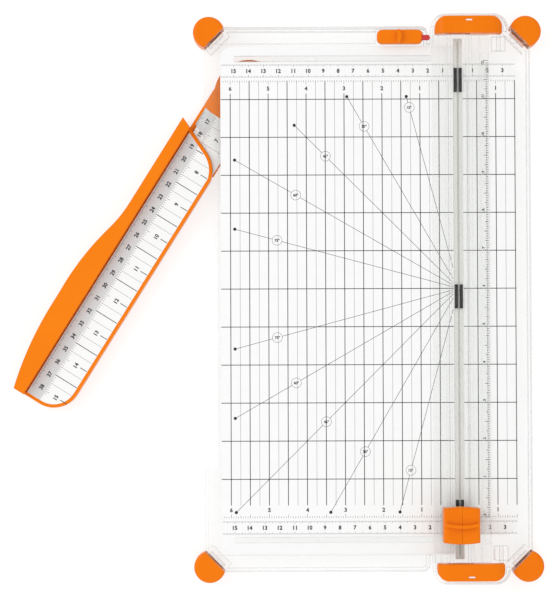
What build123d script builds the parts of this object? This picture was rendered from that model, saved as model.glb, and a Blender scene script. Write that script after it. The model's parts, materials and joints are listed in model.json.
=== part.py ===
"""Rotary paper trimmer: clear base with a printed deck, hinged blade rail with a sliding cutting
head, rail latch and swing-out ruler arm.

Millimetres. +Z up, the table is Z = 0. The origin is on the table under the middle of the cut line,
+Y runs along the cut line towards the latch, +X towards the rail's hinge.
"""
import os
from math import cos, radians, sin, sqrt

from build123d import *

# ---- base tray -------------------------------------------------------------------------------
BASE_LEFT = -170.0
BASE_RIGHT = 48.7
BASE_HALF = 182.0            # half length along the cut line
CORNER_LEG = 13.6            # 45 degree corner where a foot is attached
DECK_BOTTOM = 13.0           # underside of the tray's plate
DECK_TOP = 16.0              # the plate's top, under the printed panels
PANEL_TOP = 17.0             # the surface that paper lies on
RIM_TOP = 20.0               # raised front and rear rims, and the paper fences
RIM_INNER = 170.8            # where the rims start
RIM_LEFT_END = -20.0         # the rims stop each side of the rail
RIM_RIGHT_START = 35.5
SKIRT_BOTTOM = 4.0
SKIRT_WALL = 2.0
SKIRT_OPENING_REAR = 168.0   # the left skirt is open from the cutout to here for the arm
TONGUE_LEFT = -17.8          # the tongues carry the rail's end caps
TONGUE_RIGHT = 33.6
TONGUE_HALF = 190.8
TONGUE_RADIUS = 9.5
NOTCH_X = -18.9              # narrow notches that part the tongues from the rims
NOTCH_WIDTH = 2.4
NOTCH_DEPTH = 10.5
RIM_CORNER = 4.5
LIP_WIDTH = 1.3              # low lip round each tongue
LIP_HEIGHT = 2.6
FENCE_INNER = 159.0          # paper fences, square to the cut line
FENCE_WIDTH = 3.6
FENCE_LEFT = -149.7
FENCE_RIGHT = -18.2
FENCE_SLOT_GAP = 0.2
CUTOUT_EDGE = -160.8         # left side cutout that takes the stowed arm's handle
CUTOUT_FRONT = -114.0
HANDLE_SWEEP_RADIUS = 42.3   # the handle's near end passes outside this circle
RIB_X = -95.0                # stiffening ribs under the plate, clear of the arm
RIB_HALF = 165.0
RIB_BOTTOM = 6.0
RIB_WIDTH = 2.0
LUG_RADIUS = 4.8             # hinge lugs
LUG_INNER = 165.0
LUG_OUTER = 174.5

# ---- printed panels and cutting strip --------------------------------------------------------
PANEL_LEFT = -159.0
PANEL_FRONT = -170.6
PANEL_REAR = 169.2
PANEL_RIGHT = 38.8
PANEL_RADIUS = 8.0
PANEL_HALF_RIGHT = 157.7
CUT_GAP = 3.3                # from the cut line to either panel
STRIP_HALF_WIDTH = 2.9
STRIP_HALF = 174.0
STRIP_BOTTOM = 14.5
STRIP_GROOVE_WIDTH = 1.2     # room for the blade's edge below the paper
STRIP_GROOVE_DEPTH = 0.9

# ---- feet ------------------------------------------------------------------------------------
FOOT_RADIUS = 10.5
FOOT_FLAT = 5.1              # from the foot's axis to the flat that meets the tray
FOOT_BOTTOM = 1.5
FOOT_TOP = 19.5
PAD_RADIUS = 7.5
PAD_TOP = 3.0
CORNER_DEPTH = 6.0
CORNER_WIDTH = 18.0
TENON_WIDTH = 12.6
TENON_LENGTH = 2.6
TENON_BOTTOM = 6.0
TENON_TOP = 10.0

# ---- rail ------------------------------------------------------------------------------------
RAIL_LEFT = -17.4
RAIL_RIGHT = 20.7
RAIL_HALF = 176.0
RAIL_BOTTOM = 17.4
RAIL_PLATE_TOP = 20.4
RAIL_FLOOR_TOP = 19.4        # floor of the channel that the blade runs in
RAIL_EDGE = 1.2              # height of the rail's bevelled edges
LEFT_BEVEL = 4.0
RIGHT_BEVEL = 5.8
TRACK_INNER = 5.2
TRACK_WEB = 1.6
TRACK_OUTER = 9.1
TRACK_LIP_BOTTOM = 24.6
TRACK_TOP = 26.2
RIDGE_LEFT = -12.9           # low ridges beside the head's path
RIDGE_RIGHT = 14.2
RIDGE_WIDTH = 0.8
RIDGE_HEIGHT = 0.7
SLOT_HALF_WIDTH = 0.5
SLOT_HALF = 171.5
TENON_REACH = 183.0          # how far the rail reaches into its end caps
TENON_HALF_WIDTH = 8.0
SNAP_X = 7.0
SNAP_Y = 185.2
SNAP_SLOT = (4.3, 1.2)       # small slot in each cap that shows the clip's head
CLIP_BOTTOM = 23.0
CLIP_TOP = 28.7
HINGE_X = 27.0
HINGE_Z = 21.5
HINGE_PIN_RADIUS = 1.5
RUNNING_FIT = 0.05           # radial clearance of a turning pin
CAP_INNER = 176.5
CAP_OUTER = 188.0
CAP_LEFT = -15.5
CAP_RIGHT = 29.5
CAP_BOTTOM = 17.2
CAP_TOP = 29.0
CAP_CORNER = 7.5
CAP_HINGE_CORNER = 1.6
CAP_SHOULDER = 7.0           # radius that rounds the cap's two ends down
GRIP_LENGTH = 16.0
GRIP_WIDTH = 2.1
GRIP_INSET = 1.65             # from the cut line to the middle of a grip block
GRIP_BOTTOM = 17.1
GRIP_TOP = 18.6
GRIP_PLACES = (-142.5, 1.2, 146.2)
RULER_THICKNESS = 0.25

# ---- cutting head ----------------------------------------------------------------------------
HEAD_Y = -150.6              # the head's middle at rest
HEAD_HALF_X = 12.05
HEAD_HALF_Y = 11.3           # at the corners, the bow adds to it in the middle
HEAD_BOW = 1.05
HEAD_BOTTOM = 22.9
HEAD_TOP = 39.2
HEAD_WALL = 1.1
HEAD_ROOF = 36.0
HEAD_TRAVEL = 2.4            # how far it presses down
PARTING_GAP = 0.05
FIN_THICKNESS = 2.4
FIN_HALF_SPAN = 10.2
FIN_SAG = 1.2                # how far the fin's middle lies in front of its ends
FIN_TOP = 42.2
FIN_OFFSET = 0.6             # how far the fin's ends lie behind the head's middle
SCOOP_OFFSET = 4.9
SCOOP_RADIUS = 29.8          # shallow dish in front of the fin
SCOOP_DEPTH = 1.3
BLADE_RADIUS = 9.0
BLADE_THICKNESS = 0.5
BLADE_Z = 28.4
AXLE_RADIUS = 1.5
HUB_RADIUS = 3.4
HUB_HALF = 1.4
WEB_INNER = 1.7              # hanging webs that hold the axle, from the blade's plane
WEB_OUTER = 3.6
WEB_HALF_LENGTH = 4.0
WEB_BOTTOM = 24.0
RUNNER_HALF_X = 10.7
RUNNER_GAP = 0.3
RUNNER_WALL = 1.3
RUNNER_BOTTOM = 21.0
RUNNER_TOP = 28.4
SPRING_X = 7.4
SPRING_RADIUS = 1.9
SPRING_WIRE = 0.25

# ---- latch -----------------------------------------------------------------------------------
LATCH_LEFT = -54.1
LATCH_RIGHT = -23.4
LATCH_Y = 175.0
LATCH_WIDTH = 9.4
LATCH_BOTTOM = 16.3
LATCH_TOP = 22.4
LATCH_TRAVEL = 4.0
LATCH_FIN_X = -39.4
LATCH_FIN_TOP = 25.6
BOLT_TIP = -18.7
BOLT_Y = 174.2
BOLT_WIDTH = 3.6
BOLT_BOTTOM = 20.8
BOLT_TOP = 22.2
KEEL_LENGTH = 14.0
KEEL_WIDTH = 3.6

# ---- ruler arm -------------------------------------------------------------------------------
PIVOT = (-139.9, 137.8)
ARM_REST = 57.9              # degrees from square with the deck to the rest pose
BOSS_RADIUS = 6.0
BOSS_BOTTOM = 4.3
PIVOT_SCREW_RADIUS = 1.5
BUSH_RADIUS = 8.0
ARM_BASE_RADIUS = 23.4
ARM_LOW_EDGE = 21.9          # fence-side edge of the low part
ARM_FENCE = 21.2             # across the arm, from the pivot to the fence face
ARM_OUTER = 28.8
ARM_EDGE = -8.9
ARM_LENGTH = 250.4
ARM_TIP_RADIUS = 18.0
HANDLE_START = 37.0
STEP_BEND = (48.5, -3.0)     # the step bends here, and meets the arm's plain edge at STEP_END
STEP_END = 63.0
BULGE_START = 105.0          # swelling of the handle's outer edge, along the arm
BULGE_MIDDLE = (126.0, -31.4)
BULGE_PEAK = (180.0, 190.0)
BULGE_DEPTH = 36.9
ARM_LOW_BOTTOM = 4.6
ARM_LOW_TOP = 9.4
ARM_BOTTOM = 2.0
ARM_TOP = 12.4
HANDLE_TOP = 19.5
LABEL_THICKNESS = 0.3
LABEL_EDGE = 20.2            # the label stops just short of the fence face
LABEL_MARGIN = 2.2           # orange border round the label
GROOVE_BOTTOM = 10.8         # groove between the label and the fence
INNER_LABEL_START = 24.0
ARM_WALL = 1.8
ARM_ROOF = 2.4

os.makedirs("parts", exist_ok=True)


def save(part, name):
    """Label a finished piece and write it as its own STEP file."""
    part.label = name
    export_step(part, f"parts/{name}.step")


def arm_plane(height):
    """Plane along the ruler arm at rest: X runs from the pivot to the tip, the handle is at -Y."""
    turn = radians(180 + ARM_REST)
    return Plane(origin=(PIVOT[0], PIVOT[1], height), x_dir=(cos(turn), sin(turn), 0), z_dir=(0, 0, 1))


def corner_plane(side_x, side_y, height):
    """Plane on a foot's axis, with X pointing out of the tray's corner."""
    edge_x = BASE_RIGHT if side_x > 0 else BASE_LEFT
    out = FOOT_FLAT / sqrt(2) - CORNER_LEG / 2
    origin = (edge_x + side_x * out, side_y * (BASE_HALF + out), height)
    return Plane(origin=origin, x_dir=(side_x, side_y, 0), z_dir=(0, 0, 1))


CORNERS = {"rear_left": (-1, 1), "rear_right": (1, 1), "front_left": (-1, -1), "front_right": (1, -1)}


# ================================ base tray ===================================================
def tray_plan():
    """Plan of the tray: chamfered rectangle and the two rail tongues."""
    with Locations(((BASE_LEFT + BASE_RIGHT) / 2, 0)):
        plate = Rectangle(BASE_RIGHT - BASE_LEFT, 2 * BASE_HALF)
    chamfer(plate.vertices(), CORNER_LEG)
    notch_plan(1)
    notch_plan(-1)
    tongue_plan()


def notch_plan(side):
    """Plan of the notch that parts a tongue from the rim, with the rim's rounded corner."""
    near = NOTCH_X + NOTCH_WIDTH / 2
    far = NOTCH_X - NOTCH_WIDTH / 2
    edge = side * BASE_HALF
    bottom = side * (BASE_HALF - NOTCH_DEPTH)
    arc_start = side * (BASE_HALF - RIM_CORNER)
    inset = RIM_CORNER * (1 - sqrt(0.5))
    with BuildLine() as outline:
        Polyline((far - RIM_CORNER, edge), (near, edge), (near, bottom), (far, bottom), (far, arc_start))
        ThreePointArc((far, arc_start), (far - inset, edge - side * inset), (far - RIM_CORNER, edge))
    make_face(outline.edges(), mode=Mode.SUBTRACT)


def tongue_plan():
    """Plan of the strip that ends in the two tongues."""
    with Locations(((TONGUE_LEFT + TONGUE_RIGHT) / 2, 0)):
        RectangleRounded(TONGUE_RIGHT - TONGUE_LEFT, 2 * TONGUE_HALF, TONGUE_RADIUS)


def fence_plan(gap, mode):
    """Plan of the two paper fences, or of the slots that let them through the printed panel."""
    for side in (1, -1):
        with Locations(((FENCE_LEFT + FENCE_RIGHT) / 2, side * (FENCE_INNER + FENCE_WIDTH / 2))):
            Rectangle(FENCE_RIGHT - FENCE_LEFT + 2 * gap, FENCE_WIDTH + 2 * gap, mode=mode)


with BuildPart() as base_tray:
    # plate, with a side cutout whose rear end is an arc about the arm's pivot
    with BuildSketch(Plane.XY.offset(DECK_BOTTOM)):
        tray_plan()
        with Locations((CUTOUT_EDGE, CUTOUT_FRONT)):
            Rectangle(30, PIVOT[1] - CUTOUT_FRONT, align=(Align.MAX, Align.MIN), mode=Mode.SUBTRACT)
        with BuildLine():
            sweep_top = (BASE_LEFT, PIVOT[1])
            sweep_edge = PIVOT[1] - sqrt(HANDLE_SWEEP_RADIUS ** 2 - (BASE_LEFT - PIVOT[0]) ** 2)
            sweep_end = PIVOT[1] - sqrt(HANDLE_SWEEP_RADIUS ** 2 - (CUTOUT_EDGE - PIVOT[0]) ** 2)
            Polyline((BASE_LEFT, sweep_edge), sweep_top, (CUTOUT_EDGE, PIVOT[1]), (CUTOUT_EDGE, sweep_end))
            RadiusArc((CUTOUT_EDGE, sweep_end), (BASE_LEFT, sweep_edge), HANDLE_SWEEP_RADIUS)
        make_face()
    extrude(amount=DECK_TOP - DECK_BOTTOM)
    # skirt, open on the left where the arm swings
    with BuildSketch(Plane.XY.offset(SKIRT_BOTTOM)):
        tray_plan()
        offset(amount=-SKIRT_WALL, kind=Kind.INTERSECTION, mode=Mode.SUBTRACT)
        with Locations((BASE_LEFT, CUTOUT_FRONT)):
            Rectangle(20, SKIRT_OPENING_REAR - CUTOUT_FRONT, align=(Align.CENTER, Align.MIN),
                      mode=Mode.SUBTRACT)
    extrude(amount=DECK_BOTTOM - SKIRT_BOTTOM)
    # stiffening rib under the plate
    with BuildSketch(Plane.XY.offset(RIB_BOTTOM)):
        with Locations((RIB_X, 0)):
            Rectangle(RIB_WIDTH, 2 * RIB_HALF)
    extrude(amount=DECK_BOTTOM - RIB_BOTTOM)
    # corner blocks that take the feet's tenons
    for corner in CORNERS.values():
        with BuildSketch(corner_plane(*corner, SKIRT_BOTTOM)):
            with Locations((-FOOT_FLAT, 0)):
                Rectangle(CORNER_DEPTH, CORNER_WIDTH, align=(Align.MAX, Align.CENTER))
        extrude(amount=DECK_BOTTOM - SKIRT_BOTTOM)
    for corner in CORNERS.values():
        with BuildSketch(corner_plane(*corner, TENON_BOTTOM)):
            with Locations((-FOOT_FLAT, 0)):
                Rectangle(TENON_LENGTH, TENON_WIDTH, align=(Align.MAX, Align.CENTER))
        extrude(amount=TENON_TOP - TENON_BOTTOM, mode=Mode.SUBTRACT)
    # raised rims, then the recess that the latch slides in
    with BuildSketch(Plane.XY.offset(DECK_TOP)):
        tray_plan()
        Rectangle(600, 2 * RIM_INNER, mode=Mode.SUBTRACT)
        with Locations((RIM_LEFT_END, 0)):
            Rectangle(RIM_RIGHT_START - RIM_LEFT_END, 600, align=(Align.MIN, Align.CENTER),
                      mode=Mode.SUBTRACT)
    extrude(amount=RIM_TOP - DECK_TOP)
    with BuildSketch(Plane.XY.offset(DECK_TOP)):
        with Locations((LATCH_LEFT - 1, LATCH_Y)):
            Rectangle(LATCH_TRAVEL + 40, LATCH_WIDTH + 0.8, align=(Align.MIN, Align.CENTER))
    extrude(amount=RIM_TOP - DECK_TOP, mode=Mode.SUBTRACT)
    # lip round each tongue, outside the rail's end cap
    with BuildSketch(Plane.XY.offset(DECK_TOP)):
        tongue_plan()
        offset(amount=-LIP_WIDTH, mode=Mode.SUBTRACT)
        Rectangle(100, 2 * BASE_HALF, mode=Mode.SUBTRACT)
    extrude(amount=LIP_HEIGHT)
    # paper fences
    with BuildSketch(Plane.XY.offset(DECK_TOP)):
        fence_plan(0, Mode.ADD)
    extrude(amount=RIM_TOP - DECK_TOP)
    # hinge lugs, bored for the rail's pins
    for side in (1, -1):
        with BuildSketch(Plane.XZ.offset(-side * LUG_INNER)):
            with Locations((HINGE_X, HINGE_Z)):
                Circle(LUG_RADIUS)
            with Locations((HINGE_X, DECK_TOP)):
                Rectangle(2 * LUG_RADIUS, HINGE_Z - DECK_TOP, align=(Align.CENTER, Align.MIN))
            with Locations((HINGE_X, HINGE_Z)):
                Circle(HINGE_PIN_RADIUS, mode=Mode.SUBTRACT)
        extrude(amount=-side * (LUG_OUTER - LUG_INNER))
    # groove for the cutting strip
    with BuildSketch(Plane.XY.offset(STRIP_BOTTOM)):
        Rectangle(2 * STRIP_HALF_WIDTH, 2 * STRIP_HALF)
    extrude(amount=DECK_TOP - STRIP_BOTTOM, mode=Mode.SUBTRACT)
    # slot for the latch's keel
    with BuildSketch(Plane.XY.offset(DECK_BOTTOM)):
        with Locations((LATCH_FIN_X + LATCH_TRAVEL / 2, LATCH_Y)):
            Rectangle(KEEL_LENGTH + LATCH_TRAVEL + 0.6, KEEL_WIDTH + 0.4)
    extrude(amount=DECK_TOP - DECK_BOTTOM, mode=Mode.SUBTRACT)
    # boss that the arm turns on
    with BuildSketch(Plane.XY.offset(BOSS_BOTTOM)):
        with Locations(PIVOT):
            Circle(BOSS_RADIUS)
    extrude(amount=DECK_BOTTOM - BOSS_BOTTOM)
    with BuildSketch(Plane.XY.offset(BOSS_BOTTOM)):
        with Locations(PIVOT):
            Circle(PIVOT_SCREW_RADIUS)
    extrude(amount=7.0, mode=Mode.SUBTRACT)
save(base_tray.part, "base_tray")

# ================================ printed panels and cutting strip ============================
with BuildPart() as deck_panel_left:
    with BuildSketch(Plane.XY.offset(DECK_TOP)):
        with Locations(((PANEL_LEFT - CUT_GAP) / 2, (PANEL_FRONT + PANEL_REAR) / 2)):
            sheet = Rectangle(-CUT_GAP - PANEL_LEFT, PANEL_REAR - PANEL_FRONT)
        fillet(sheet.vertices().group_by(Axis.X)[0], PANEL_RADIUS)
        fence_plan(FENCE_SLOT_GAP, Mode.SUBTRACT)
    extrude(amount=PANEL_TOP - DECK_TOP)
save(deck_panel_left.part, "deck_panel_left")

with BuildPart() as deck_panel_right:
    with BuildSketch(Plane.XY.offset(DECK_TOP)):
        with Locations(((PANEL_RIGHT + CUT_GAP) / 2, 0)):
            sheet = Rectangle(PANEL_RIGHT - CUT_GAP, 2 * PANEL_HALF_RIGHT)
        fillet(sheet.vertices().group_by(Axis.X)[-1], PANEL_RADIUS)
    extrude(amount=PANEL_TOP - DECK_TOP)
save(deck_panel_right.part, "deck_panel_right")

with BuildPart() as cutting_strip:
    with BuildSketch(Plane.XY.offset(STRIP_BOTTOM)):
        Rectangle(2 * STRIP_HALF_WIDTH, 2 * STRIP_HALF)
    extrude(amount=PANEL_TOP - STRIP_BOTTOM)
    with BuildSketch(Plane.XY.offset(PANEL_TOP)):
        Rectangle(STRIP_GROOVE_WIDTH, 2 * SLOT_HALF)
    extrude(amount=-STRIP_GROOVE_DEPTH, mode=Mode.SUBTRACT)
save(cutting_strip.part, "cutting_strip")

# ================================ feet ========================================================
for place, corner in CORNERS.items():
    with BuildPart() as foot:
        with BuildSketch(corner_plane(*corner, FOOT_BOTTOM)):
            Circle(FOOT_RADIUS)
            with Locations((-FOOT_FLAT, 0)):
                Rectangle(20, 40, align=(Align.MAX, Align.CENTER), mode=Mode.SUBTRACT)
        extrude(amount=FOOT_TOP - FOOT_BOTTOM)
        fillet(foot.edges().group_by(Axis.Z)[-1].filter_by(GeomType.CIRCLE), 2.5)
        with BuildSketch(corner_plane(*corner, TENON_BOTTOM)):
            with Locations((-FOOT_FLAT + 1, 0)):
                Rectangle(TENON_LENGTH + 1, TENON_WIDTH, align=(Align.MAX, Align.CENTER))
        extrude(amount=TENON_TOP - TENON_BOTTOM)
        with BuildSketch(corner_plane(*corner, FOOT_BOTTOM)):
            Circle(PAD_RADIUS)
            with Locations((-FOOT_FLAT + 1.2, 0)):
                Rectangle(20, 40, align=(Align.MAX, Align.CENTER), mode=Mode.SUBTRACT)
        extrude(amount=PAD_TOP - FOOT_BOTTOM, mode=Mode.SUBTRACT)
    save(foot.part, f"foot_{place}")

with BuildPart() as foot_pads:
    for corner in CORNERS.values():
        with BuildSketch(corner_plane(*corner, 0)):
            Circle(PAD_RADIUS)
            with Locations((-FOOT_FLAT + 1.2, 0)):
                Rectangle(20, 40, align=(Align.MAX, Align.CENTER), mode=Mode.SUBTRACT)
        extrude(amount=PAD_TOP)
save(foot_pads.part, "foot_pads")

# ================================ arm pivot ===================================================
with BuildPart() as arm_pivot_washer:
    with BuildSketch(Plane.XY.offset(BOSS_BOTTOM - 1)):
        with Locations(PIVOT):
            Circle(9)
            Circle(PIVOT_SCREW_RADIUS, mode=Mode.SUBTRACT)
    extrude(amount=1)
save(arm_pivot_washer.part, "arm_pivot_washer")

with BuildPart() as arm_pivot_screw:
    with BuildSketch(Plane.XY.offset(BOSS_BOTTOM - 3)):
        with Locations(PIVOT):
            Circle(3.4)
            RegularPolygon(1.2, 6, mode=Mode.SUBTRACT)
    extrude(amount=2)
    with BuildSketch(Plane.XY.offset(BOSS_BOTTOM - 1)):
        with Locations(PIVOT):
            Circle(PIVOT_SCREW_RADIUS)
    extrude(amount=7.5)
save(arm_pivot_screw.part, "arm_pivot_screw")

# ================================ rail ========================================================
with BuildPart() as rail:
    # plate with bevelled edges
    with BuildSketch(Plane.XZ):
        with BuildLine():
            Polyline((RAIL_LEFT, RAIL_BOTTOM), (RAIL_RIGHT, RAIL_BOTTOM),
                     (RAIL_RIGHT, RAIL_BOTTOM + RAIL_EDGE), (RAIL_RIGHT - RIGHT_BEVEL, RAIL_PLATE_TOP),
                     (RAIL_LEFT + LEFT_BEVEL, RAIL_PLATE_TOP), (RAIL_LEFT, RAIL_BOTTOM + RAIL_EDGE),
                     close=True)
        make_face()
        # tracks that the head's runner hooks under
        for side in (1, -1):
            with Locations((side * TRACK_INNER, RAIL_PLATE_TOP - 0.5)):
                Rectangle(TRACK_WEB, TRACK_TOP - RAIL_PLATE_TOP + 0.5,
                          align=(Align.MIN if side > 0 else Align.MAX, Align.MIN))
            with Locations((side * TRACK_INNER, TRACK_LIP_BOTTOM)):
                Rectangle(TRACK_OUTER - TRACK_INNER, TRACK_TOP - TRACK_LIP_BOTTOM,
                          align=(Align.MIN if side > 0 else Align.MAX, Align.MIN))
        for ridge in (RIDGE_LEFT, RIDGE_RIGHT):
            with Locations((ridge, RAIL_PLATE_TOP)):
                Rectangle(RIDGE_WIDTH, 2 * RIDGE_HEIGHT)
        with Locations((0, RAIL_FLOOR_TOP)):
            Rectangle(2 * TRACK_INNER, 4, align=(Align.CENTER, Align.MIN), mode=Mode.SUBTRACT)
    extrude(amount=RAIL_HALF, both=True)
    # tenons that snap into the end caps
    for side in (1, -1):
        with BuildSketch(Plane.XZ.offset(-side * RAIL_HALF)):
            with Locations((0, RAIL_BOTTOM + 0.4)):
                Rectangle(2 * TENON_HALF_WIDTH, TRACK_TOP - RAIL_BOTTOM - 1.0,
                          align=(Align.CENTER, Align.MIN))
        extrude(amount=-side * (TENON_REACH - RAIL_HALF))
    with BuildSketch(Plane.XY.offset(RAIL_BOTTOM)):
        Rectangle(2 * SLOT_HALF_WIDTH, 2 * SLOT_HALF)
    extrude(amount=RAIL_FLOOR_TOP - RAIL_BOTTOM, mode=Mode.SUBTRACT)
    # pockets for the grip blocks
    with BuildSketch(Plane.XY.offset(RAIL_BOTTOM)):
        for place in GRIP_PLACES:
            with Locations((GRIP_INSET, place), (-GRIP_INSET, place)):
                Rectangle(GRIP_WIDTH, GRIP_LENGTH)
    extrude(amount=GRIP_TOP - RAIL_BOTTOM, mode=Mode.SUBTRACT)
save(rail.part, "rail")

with BuildPart() as rail_grip_pads:
    with BuildSketch(Plane.XY.offset(GRIP_BOTTOM)):
        for place in GRIP_PLACES:
            with Locations((GRIP_INSET, place), (-GRIP_INSET, place)):
                Rectangle(GRIP_WIDTH, GRIP_LENGTH)
    extrude(amount=GRIP_TOP - GRIP_BOTTOM)
save(rail_grip_pads.part, "rail_grip_pads")

with BuildPart() as rail_ruler:
    # printed strip lying on the rail's right bevel
    slope = (RAIL_PLATE_TOP - RAIL_BOTTOM - RAIL_EDGE) / RIGHT_BEVEL
    with BuildSketch(Plane.XZ):
        with BuildLine():
            near = (RAIL_RIGHT - RIGHT_BEVEL + 0.5, RAIL_PLATE_TOP - 0.5 * slope)
            far = (RAIL_RIGHT - 0.2, RAIL_BOTTOM + RAIL_EDGE + 0.2 * slope)
            Polyline(near, far, (far[0], far[1] + RULER_THICKNESS), (near[0], near[1] + RULER_THICKNESS),
                     close=True)
        make_face()
    extrude(amount=RAIL_HALF - 12, both=True)
save(rail_ruler.part, "rail_ruler")

for name, side in (("rear", 1), ("front", -1)):
    with BuildPart() as cap:
        # rounded ends across the rail
        with BuildSketch(Plane.XZ.offset(-side * CAP_INNER)) as section:
            with Locations(((CAP_LEFT + CAP_RIGHT) / 2, (CAP_BOTTOM + CAP_TOP) / 2)):
                Rectangle(CAP_RIGHT - CAP_LEFT, CAP_TOP - CAP_BOTTOM)
            fillet(section.vertices().group_by(Axis.Y)[-1], CAP_SHOULDER)
            # clearance under the hinge as the rail lifts
            fillet(section.vertices().group_by(Axis.Y)[0].sort_by(Axis.X)[-1], CAP_HINGE_CORNER)
        extrude(amount=-side * (CAP_OUTER - CAP_INNER))
        # plan corners, then a softened rim
        with BuildSketch(Plane.XY.offset(CAP_BOTTOM)):
            with Locations(((CAP_LEFT + CAP_RIGHT) / 2, side * (CAP_INNER + CAP_OUTER) / 2)):
                plan = Rectangle(CAP_RIGHT - CAP_LEFT, CAP_OUTER - CAP_INNER)
            fillet(plan.vertices().sort_by(Axis.Y, reverse=side > 0)[0:2], CAP_CORNER)
        extrude(amount=CAP_TOP - CAP_BOTTOM, mode=Mode.INTERSECT)
        fillet(cap.edges().filter_by(Axis.X).sort_by(Axis.Z)[-2:], 1.0)
        # pocket for the rail's tenon and the slot for the clip
        with BuildSketch(Plane.XZ.offset(-side * CAP_INNER)):
            with Locations((0, RAIL_BOTTOM + 0.4)):
                Rectangle(2 * TENON_HALF_WIDTH, TRACK_TOP - RAIL_BOTTOM - 1.0,
                          align=(Align.CENTER, Align.MIN))
        extrude(amount=-side * (TENON_REACH - CAP_INNER), mode=Mode.SUBTRACT)
        with BuildSketch(Plane.XY.offset(CAP_TOP)):
            with Locations((SNAP_X, side * SNAP_Y)):
                Rectangle(*SNAP_SLOT)
        extrude(amount=CLIP_BOTTOM - CAP_TOP, mode=Mode.SUBTRACT)
        # blind bore for the hinge pin
        with BuildSketch(Plane.XZ.offset(-side * CAP_INNER)):
            with Locations((HINGE_X, HINGE_Z)):
                Circle(HINGE_PIN_RADIUS + RUNNING_FIT)
        extrude(amount=-side * 9.0, mode=Mode.SUBTRACT)
    save(cap.part, f"rail_cap_{name}")

    with BuildPart() as hinge_pin:
        with BuildSketch(Plane.XZ.offset(-side * LUG_INNER)):
            with Locations((HINGE_X, HINGE_Z)):
                Circle(HINGE_PIN_RADIUS)
        extrude(amount=-side * (CAP_INNER + 8.5 - LUG_INNER))
    save(hinge_pin.part, f"hinge_pin_{name}")

with BuildPart() as cap_clips:
    # one pressed into each cap's slot
    with BuildSketch(Plane.XY.offset(CLIP_BOTTOM)):
        with Locations((SNAP_X, SNAP_Y), (SNAP_X, -SNAP_Y)):
            Rectangle(*SNAP_SLOT)
    extrude(amount=CLIP_TOP - CLIP_BOTTOM)
save(cap_clips.part, "cap_clips")

# ================================ cutting head ================================================
def head_plan():
    """Plan of the cutting head: straight sides, bowed front and rear."""
    with BuildLine() as outline:
        for side in (1, -1):
            ThreePointArc((-HEAD_HALF_X, HEAD_Y + side * HEAD_HALF_Y),
                          (0, HEAD_Y + side * (HEAD_HALF_Y + HEAD_BOW)),
                          (HEAD_HALF_X, HEAD_Y + side * HEAD_HALF_Y))
            Line((side * HEAD_HALF_X, HEAD_Y - HEAD_HALF_Y), (side * HEAD_HALF_X, HEAD_Y + HEAD_HALF_Y))
    make_face(outline.edges())


with BuildPart() as carriage_runner:
    with BuildSketch(Plane.XZ.offset(-HEAD_Y)):
        for side in (1, -1):
            outward = Align.MIN if side > 0 else Align.MAX
            inward = Align.MAX if side > 0 else Align.MIN
            with Locations((side * RUNNER_HALF_X, RUNNER_BOTTOM)):
                Rectangle(RUNNER_WALL, RUNNER_TOP - RUNNER_BOTTOM, align=(inward, Align.MIN))
            with Locations((side * (TRACK_INNER + TRACK_WEB + 0.3), RUNNER_BOTTOM)):
                Rectangle(RUNNER_HALF_X - TRACK_INNER - TRACK_WEB - 0.3,
                          TRACK_LIP_BOTTOM - 0.4 - RUNNER_BOTTOM, align=(outward, Align.MIN))
        with Locations((0, TRACK_TOP + 0.4)):
            Rectangle(2 * RUNNER_HALF_X, RUNNER_TOP - TRACK_TOP - 0.4, align=(Align.CENTER, Align.MIN))
    extrude(amount=HEAD_HALF_Y + HEAD_BOW, both=True)
    with BuildSketch(Plane.XY.offset(RUNNER_BOTTOM)):
        head_plan()
        offset(amount=-HEAD_WALL - RUNNER_GAP)
    extrude(amount=RUNNER_TOP - RUNNER_BOTTOM, mode=Mode.INTERSECT)
    # window for the blade and the webs that hold its axle
    with BuildSketch(Plane.XY.offset(TRACK_TOP)):
        with Locations((0, HEAD_Y)):
            Rectangle(2 * WEB_OUTER + 0.8, 2 * BLADE_RADIUS + 1.2)
    extrude(amount=RUNNER_TOP - TRACK_TOP, mode=Mode.SUBTRACT)
save(carriage_runner.part, "carriage_runner")

spring_height = HEAD_ROOF - RUNNER_TOP - 2 * SPRING_WIRE - 0.1
for index, side in enumerate((-1, 1)):
    with BuildPart() as spring:
        start = (side * SPRING_X, HEAD_Y, RUNNER_TOP + SPRING_WIRE + 0.05)
        with BuildLine() as coil:
            Helix(pitch=spring_height / 4, height=spring_height, radius=SPRING_RADIUS, center=start)
        with BuildSketch(Plane(origin=coil.line @ 0, z_dir=coil.line % 0)):
            Circle(SPRING_WIRE)
        sweep()
    save(spring.part, "press_spring_left" if side < 0 else "press_spring_right")


with BuildPart() as scoop:
    # dish for the fingertip, cut out of the head's top in front of the fin
    with Locations((0, HEAD_Y - SCOOP_OFFSET, HEAD_TOP + SCOOP_RADIUS - SCOOP_DEPTH)):
        Sphere(SCOOP_RADIUS)
    with BuildSketch(Plane.XY.offset(HEAD_TOP - SCOOP_DEPTH)):
        with Locations((0, HEAD_Y)):
            Rectangle(2 * HEAD_HALF_X, 2 * HEAD_HALF_Y, align=(Align.CENTER, Align.MAX))
    extrude(amount=2 * SCOOP_DEPTH, mode=Mode.INTERSECT)

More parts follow.
